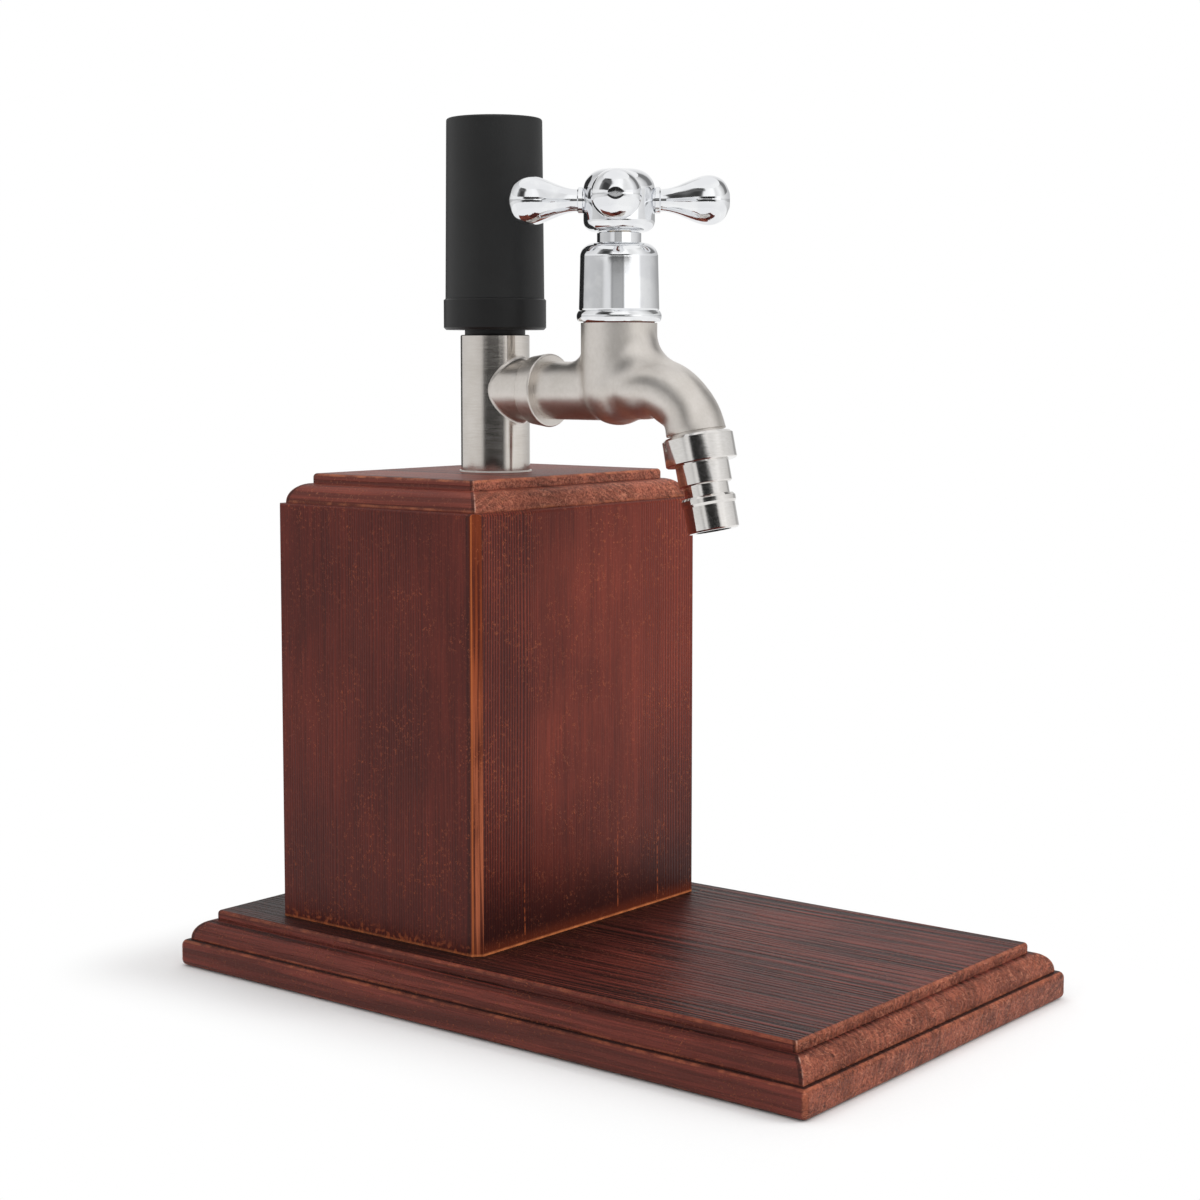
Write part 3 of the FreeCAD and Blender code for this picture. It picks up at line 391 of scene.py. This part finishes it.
def board_wear_and_painted_light(ledges, arrises, end_tone, corner=None, rings=0.3):
    """Painted shade on the ledge at each of these heights, rubbed at the arrises (height, reach, amount),
    coppery on the end grain with painted highlights, painted light on the sides along x, and a painted shadow
    round the box's
    foot. corner is where the mouldings meet: its reach along x and y, the middle in y, and the ledge."""

    def wear_and_painted_light(paint, colour, rubbed, dark, place, late):
        z = place[2]
        nx, ny, nz = paint.split(paint.normal)
        up = paint.step(nz, 0.9, 0.99)
        side = paint.step(nz, 0.93, 0.99, 1.0, 0.0)
        end = paint.step(paint.size(ny), 0.12, 0.5)
        # Painted light: the sides that face along x are painted lighter.
        painted_side_light = paint.times(paint.step(paint.size(nx), 0.3, 0.7), 0.34)
        colour = paint.mix(painted_side_light, colour, LONG_SIDE_LIGHT)
        colour = paint.mix(paint.times(end, 0.85), colour, end_grain(paint, end_tone, dark, late, rings))
        # Painted shadow on the base's top round the box's foot.
        colour = paint.mix(paint.times(box_painted_shadow(paint, place), up), colour, dark)
        # Painted shade on each ledge, in the step at the foot of the moulding above it.
        for level in ledges:
            colour = paint.mix(paint.times(paint.near(z, level, 0.0006), up, 0.85), colour, dark)
        for level, reach, amount in arrises:
            line = paint.times(paint.near(z, level, reach), side)
            colour = rub_and_highlight(paint, colour, rubbed, line, amount, least=0.1)
        nook = paint.step(paint.size(paint.times(nx, ny)), 0.3, 0.48)
        colour = rub_and_highlight(paint, colour, BOARD_CORNER, nook, 0.6, least=0.2)
        return mitre_painted_light(paint, colour, dark, place, side, corner) if corner else colour

    return wear_and_painted_light


def steel(name, tint, rough, brushed=(900.0, 900.0, 900.0)):
    """Satin stainless steel. brushed scales the fine lines: small along the brushing."""
    paint = Paint(name, metallic=1.0, roughness=rough)
    lines = paint.noise(paint.stretch(*brushed), detail=3.0, rough=0.6)
    cloud = paint.noise(paint.place, scale=90.0)
    shade = paint.plus(paint.times(lines, 0.16), paint.times(cloud, 0.22))
    low = (tint[0] * 0.86, tint[1] * 0.85, tint[2] * 0.83, 1.0)
    colour = paint.mix(paint.step(shade, 0.1, 0.28), low, (*tint, 1.0))
    roughness = paint.plus(paint.times(lines, 0.10), rough - 0.05)
    return paint.finish(colour, roughness, lines, depth=0.000008, strength=0.5)


def chrome():
    paint = Paint("chrome_plate", metallic=1.0, roughness=0.06)
    haze = paint.noise(paint.place, scale=150.0, detail=3.0)
    fine = paint.noise(paint.place, scale=1500.0, detail=1.0)
    colour = paint.mix(paint.step(haze, 0.4, 0.65), (0.80, 0.81, 0.83, 1.0), (0.88, 0.89, 0.90, 1.0))
    roughness = paint.step(haze, 0.35, 0.7, 0.04, 0.075)
    return paint.finish(colour, roughness, fine, depth=0.000002, strength=0.2)


def plain(name, dark, light, rough, scale, depth, metallic=0.0, **fixed):
    """A moulded or turned surface: slow shading, a fine grain, and roughness that follows both."""
    paint = Paint(name, metallic=metallic, roughness=rough, **fixed)
    slow = paint.noise(paint.place, scale=60.0, detail=3.0)
    fine = paint.noise(paint.place, scale=scale, rough=0.6)
    shade = paint.plus(paint.times(slow, 0.7), paint.times(fine, 0.3))
    colour = paint.mix(paint.step(shade, 0.35, 0.65), (*dark, 1.0), (*light, 1.0))
    roughness = paint.plus(paint.times(fine, 0.12), rough - 0.06)
    return paint.finish(colour, roughness, fine, depth=depth, strength=0.6)


FRONT_TONES = (rgb(44, 13, 11), rgb(104, 39, 28), rgb(130, 54, 39), rgb(206, 112, 68))
SIDE_TONES = (rgb(42, 15, 12), rgb(86, 31, 24), rgb(106, 41, 31), rgb(198, 104, 64))
BOARD_TONES = (rgb(26, 10, 9), rgb(92, 37, 31), rgb(126, 58, 47), rgb(196, 112, 76))
TOP_TONES = (rgb(36, 15, 13), rgb(112, 50, 40), rgb(140, 68, 52), rgb(204, 124, 86))
BLOCK_TONES = (rgb(150, 112, 72), rgb(196, 158, 112), rgb(216, 182, 136), rgb(226, 196, 150))
BASE_COPPER = rgb(182, 106, 80)
TOP_COPPER = rgb(200, 120, 94)
BLOCK_END = rgb(206, 170, 124)

BASE_ARRISES = [(BASE_LEDGE_Z - 0.0005, 0.0005, 0.35), (BASE_TOP - 0.0006, 0.0007, 0.3),
                (BASE_LEDGE_Z + 0.0004, 0.0005, 0.35), (0.0006, 0.0006, 0.25)]
TOP_ARRISES = [(BOX_TOP + 0.0006, 0.0006, 0.45), (TOP_BOARD_Z - 0.0004, 0.0006, 0.5)]
BASE_CORNER = (BASE_HALF_X, BASE_HALF_Y, 0.0, BASE_LEDGE_Z)
TOP_CORNER = (BOX_HALF_X, (BOX_BACK_Y - BOX_FRONT_Y) / 2, (BOX_BACK_Y + BOX_FRONT_Y) / 2, BOX_TOP)

front_wood = wood("front_panel_wood", "Z", (0.30, -0.10), FRONT_TONES, 1.0, panel_wear_and_painted_light,
                  bands=((0, -0.047, 0.022), (0, 0.047, 0.026)), pitch=760.0)
side_wood = wood("side_panel_wood", "Z", (0.12, -0.30), SIDE_TONES, 2.0, panel_wear_and_painted_light, pitch=900.0, line=0.3)
base_wood = wood("base_board_wood", "Y", (0.10, -0.06), BOARD_TONES, 3.0,
                 board_wear_and_painted_light([BASE_LEDGE_Z], BASE_ARRISES, BASE_COPPER, BASE_CORNER),
                 pitch=430.0, line=1.0, least=0.45, pores=0.6, dash=0.75, depth=0.0008)
top_wood = wood("top_board_wood", "Y", (-0.03, 0.10), TOP_TONES, 4.0,
                board_wear_and_painted_light([BOX_TOP], TOP_ARRISES, TOP_COPPER, TOP_CORNER),
                line=0.7, pores=0.5, depth=0.0003)
block_wood = wood("corner_block_wood", "Z", (0.05, 0.02), BLOCK_TONES, 5.0, board_wear_and_painted_light([], [], BLOCK_END))
column_steel = steel("column_steel", (0.72, 0.68, 0.64), 0.13, (160.0, 160.0, 1900.0))
tap_steel = steel("tap_steel", (0.76, 0.72, 0.68), 0.38, (1500.0, 700.0, 700.0))
nozzle_steel = steel("nozzle_steel", (0.82, 0.80, 0.78), 0.09, (500.0, 500.0, 1900.0))
zinc = steel("zinc_steel", (0.62, 0.63, 0.64), 0.34)
chrome_plate = chrome()
brass = plain("turned_brass", (0.52, 0.34, 0.12), (0.68, 0.47, 0.18), 0.28, 1200.0, 0.00001, metallic=1.0)
rubber = plain("black_rubber", (0.0035, 0.0037, 0.0039), (0.006, 0.0063, 0.0066), 0.5, 1800.0, 0.00004,
               specular_ior_level=0.46)
plastic = plain("black_plastic", (0.004, 0.004, 0.0043), (0.007, 0.007, 0.0073), 0.42, 1400.0, 0.00003,
                specular_ior_level=0.35)
washer = plain("pale_washer", (0.62, 0.60, 0.56), (0.78, 0.76, 0.72), 0.3, 900.0, 0.00002)
fibre = plain("red_fibre", (0.30, 0.06, 0.04), (0.42, 0.10, 0.06), 0.7, 2200.0, 0.00006)

FINISH = {
    "box_front_panel": front_wood, "box_back_panel": front_wood,
    "box_left_panel": side_wood, "box_right_panel": side_wood,
    "base_board": base_wood, "box_top_board": top_wood, "corner_blocks": block_wood,
    "column_pipe": column_steel, "branch_socket": tap_steel, "weld_bead": tap_steel,
    "column_plug": zinc, "base_screws": zinc, "fixing_washer": zinc, "fixing_nut": zinc,
    "foot_washer": washer, "tap_body": tap_steel, "nozzle_nut": nozzle_steel, "nozzle_tail": nozzle_steel,
    "bonnet_cover": chrome_plate, "gland_nut": chrome_plate, "cross_handle": chrome_plate,
    "handle_cap": chrome_plate, "handle_screw": zinc,
    "headwork": brass, "spindle": brass, "valve_carrier": brass,
    "sleeve_cup": plastic, "bottle_sleeve": rubber, "spigot_o_rings": rubber, "spindle_o_rings": rubber,
    "inlet_washer": rubber, "valve_washer": rubber, "nozzle_washer": rubber, "headwork_gasket": fibre,
}
for name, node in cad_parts.items():
    node.data.materials.clear()
    node.data.materials.append(FINISH[name])


def stage_object(name, places, faces, paint):
    """A piece of the studio, which is no part of the object."""
    mesh = bpy.data.meshes.new(name)
    mesh.from_pydata(places, [], faces)
    mesh.materials.append(paint.material)
    thing = bpy.data.objects.new(name, mesh)
    bpy.context.scene.collection.objects.link(thing)
    return thing


def floor():
    """A pale floor that keeps the object's shadow and turns to the white background away from it."""
    paint = Paint("pale_floor", specular_ior_level=0.1)
    paper = paint.noise(paint.place, scale=700.0)
    colour = paint.mix(paper, (0.86, 0.86, 0.86, 1.0), (0.89, 0.89, 0.89, 1.0))
    paint.finish(colour, 0.9, paper, depth=0.00002, strength=1.0)
    x, y, _ = paint.split(paint.place)
    beside = [paint.larger(paint.less(paint.size(c), half), 0.0)
              for c, half in ((x, BASE_HALF_X), (y, BASE_HALF_Y))]
    far = paint.step(paint.length(*beside), *SHADOW_FADE)
    white = paint.tree.nodes.new("ShaderNodeEmission")
    blend = paint.tree.nodes.new("ShaderNodeMixShader")
    paint.put(blend.inputs[0], paint.times(far, background_rays(paint.tree)))
    paint.put(blend.inputs[1], paint.shader.outputs[0])
    paint.put(blend.inputs[2], white.outputs[0])
    paint.put(paint.surface, blend.outputs[0])
    corners = [(x * FLOOR_REACH, y * FLOOR_REACH, 0) for x, y in ((-1, -1), (1, -1), (1, 1), (-1, 1))]
    plane = stage_object("studio_floor", corners, [(0, 1, 2, 3)], paint)
    plane.location.z = -FLOOR_DROP


def background_rays(tree):
    """1 for rays from the camera, from a glossy surface or through glass."""
    path = tree.nodes.new("ShaderNodeLightPath")
    total = path.outputs["Is Camera Ray"]
    for name in ("Is Glossy Ray", "Is Transmission Ray"):
        node = tree.nodes.new("ShaderNodeMath")
        node.operation = "MAXIMUM"
        tree.links.new(total, node.inputs[0])
        tree.links.new(path.outputs[name], node.inputs[1])
        total = node.outputs[0]
    return total


def softbox(name, where, target, width, height, power):
    lamp = bpy.data.lights.new(name, "AREA")
    lamp.shape = "RECTANGLE"
    lamp.size = width
    lamp.size_y = height
    lamp.energy = power
    thing = bpy.data.objects.new(name, lamp)
    thing.location = where
    thing.rotation_euler = (Vector(target) - Vector(where)).to_track_quat("-Z", "Y").to_euler()
    thing.visible_glossy = False
    bpy.context.scene.collection.objects.link(thing)


def card(level):
    return (level / CARD_STRENGTH,) * 3 + (1.0,)


def tent_paint():
    """The cards' brightness: by direction from a ramp, whose alpha holds the level above, and by height."""
    paint = Paint("studio_cards")
    x, y, z = paint.split(paint.place)
    turn = paint.plus(paint.math("DIVIDE", paint.math("ARCTAN2", y, x), 2 * math.pi), 0.5)
    ramp = paint.tree.nodes.new("ShaderNodeValToRGB")
    while len(ramp.color_ramp.elements) < len(TENT):
        ramp.color_ramp.elements.new(0.5)
    for stop, (angle, *levels) in zip(ramp.color_ramp.elements, TENT):
        stop.position = angle / 360 + 0.5
        stop.color = [level / CARD_STRENGTH for level in levels]
    paint.put(ramp.inputs[0], turn)
    level, *others = (*paint.split(ramp.outputs[0]), ramp.outputs[1])
    for (low, high), other in zip(TENT_STEPS, others):
        level = paint.mix(paint.step(z, low, high), level, other)
    height, tall, angle, wide = HIGH_CARD
    high = paint.times(paint.near(z, height, tall), paint.near(turn, angle / 360 + 0.5, wide / 360))
    level = paint.mix(high, level, card(0.12))
    level = paint.mix(paint.step(paint.length(x, y), *TENT_FLOOR_FADE), card(0.96), level)
    glow = paint.tree.nodes.new("ShaderNodeEmission")
    glow.inputs["Strength"].default_value = CARD_STRENGTH
    paint.put(glow.inputs["Color"], level)
    paint.put(paint.surface, glow.outputs[0])
    return paint


def tent():
    """Grey and white cards in a ring round the set and on its floor, which only the object's gloss sees."""
    rings = ((TENT_NEAR, 0.001), (TENT_FAR, 0.002), (TENT_FAR, TENT_HIGH))
    angles = [2 * math.pi * n / TENT_SIDES for n in range(TENT_SIDES)]
    places = [(reach * math.cos(angle), reach * math.sin(angle), height)
              for reach, height in rings for angle in angles]
    faces = []
    for first in range(0, TENT_SIDES * (len(rings) - 1), TENT_SIDES):
        for n in range(TENT_SIDES):
            a, b = first + n, first + (n + 1) % TENT_SIDES
            faces.append((a, b, b + TENT_SIDES, a + TENT_SIDES))
    cards = stage_object("studio_cards", places, faces, tent_paint())
    cards.rotation_euler = (0, 0, math.radians(CAMERA_TURN - 90))
    cards.visible_camera = False
    cards.visible_diffuse = False
    cards.visible_shadow = False
    cards.visible_transmission = False


def studio():
    world = bpy.data.worlds.new("studio")
    bpy.context.scene.world = world
    world.use_nodes = True
    tree = world.node_tree
    tree.nodes.clear()
    blend = tree.nodes.new("ShaderNodeMixShader")
    out = tree.nodes.new("ShaderNodeOutputWorld")
    tree.links.new(background_rays(tree), blend.inputs[0])
    for slot, strength in ((1, WORLD_LEVEL), (2, 1.0)):
        white = tree.nodes.new("ShaderNodeBackground")
        white.inputs["Color"].default_value = (1, 1, 1, 1)
        white.inputs["Strength"].default_value = strength
        tree.links.new(white.outputs[0], blend.inputs[slot])
    tree.links.new(blend.outputs[0], out.inputs["Surface"])
    for lamp in LAMPS:
        softbox(*lamp)
    tent()


def camera():
    data = bpy.data.cameras.new("photo_camera")
    data.sensor_width = 36.0
    data.lens = CAMERA_LENS
    data.shift_y = CAMERA_SHIFT
    data.clip_start = 0.05
    data.clip_end = 50.0
    eye = bpy.data.objects.new("photo_camera", data)
    eye.location = CAMERA_PLACE
    eye.rotation_euler = (math.radians(90 - CAMERA_DIP), 0, math.radians(CAMERA_TURN))
    bpy.context.scene.collection.objects.link(eye)
    bpy.context.scene.camera = eye


floor()
studio()
camera()
bpy.context.scene.view_settings.view_transform = "Standard"
